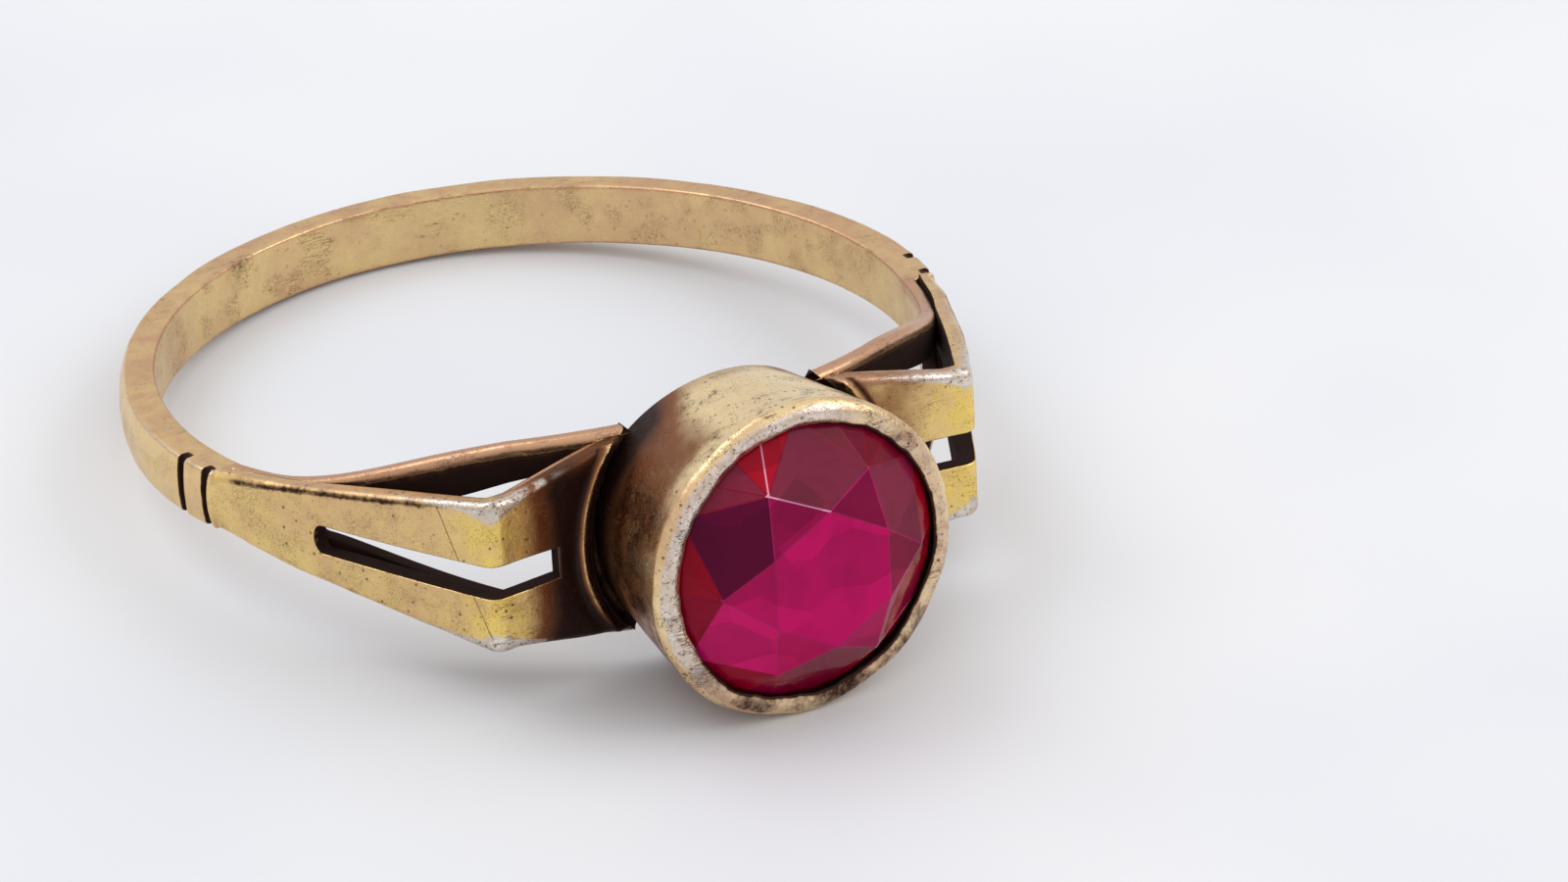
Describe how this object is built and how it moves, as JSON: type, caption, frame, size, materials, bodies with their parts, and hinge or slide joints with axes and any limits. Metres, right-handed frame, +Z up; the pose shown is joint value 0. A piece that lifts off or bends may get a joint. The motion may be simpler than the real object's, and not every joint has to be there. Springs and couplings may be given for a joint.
{
  "type": "finger ring",
  "caption": "Gilt finger ring with split, slotted shoulders and a round faceted red stone in a tall plain bezel.",
  "frame": {"origin": "centre of the bounding box's underside, on the surface the ring lies on", "axes": "+Z up from the surface the ring lies on, +Y from the stone to the back of the hoop, +X to the right as seen from the stone's side"},
  "size_m": [0.019, 0.0226, 0.0072],
  "materials": {
    "gilt": "worn gilt with dark patina in the recesses",
    "solder": "dull, darkened",
    "bezel": "worn gilt, rubbed to silver at the rim",
    "stone": "polished facets"
  },
  "bodies": {
    "root": {"shank": "gilt", "left_shoulder": "gilt", "right_shoulder": "gilt", "left_tip_solder": "solder", "right_tip_solder": "solder", "left_bezel_solder": "solder", "right_bezel_solder": "solder", "bezel_wall": "bezel", "stone_seat": "bezel", "stone": "stone"}
  },
  "joints": []
}
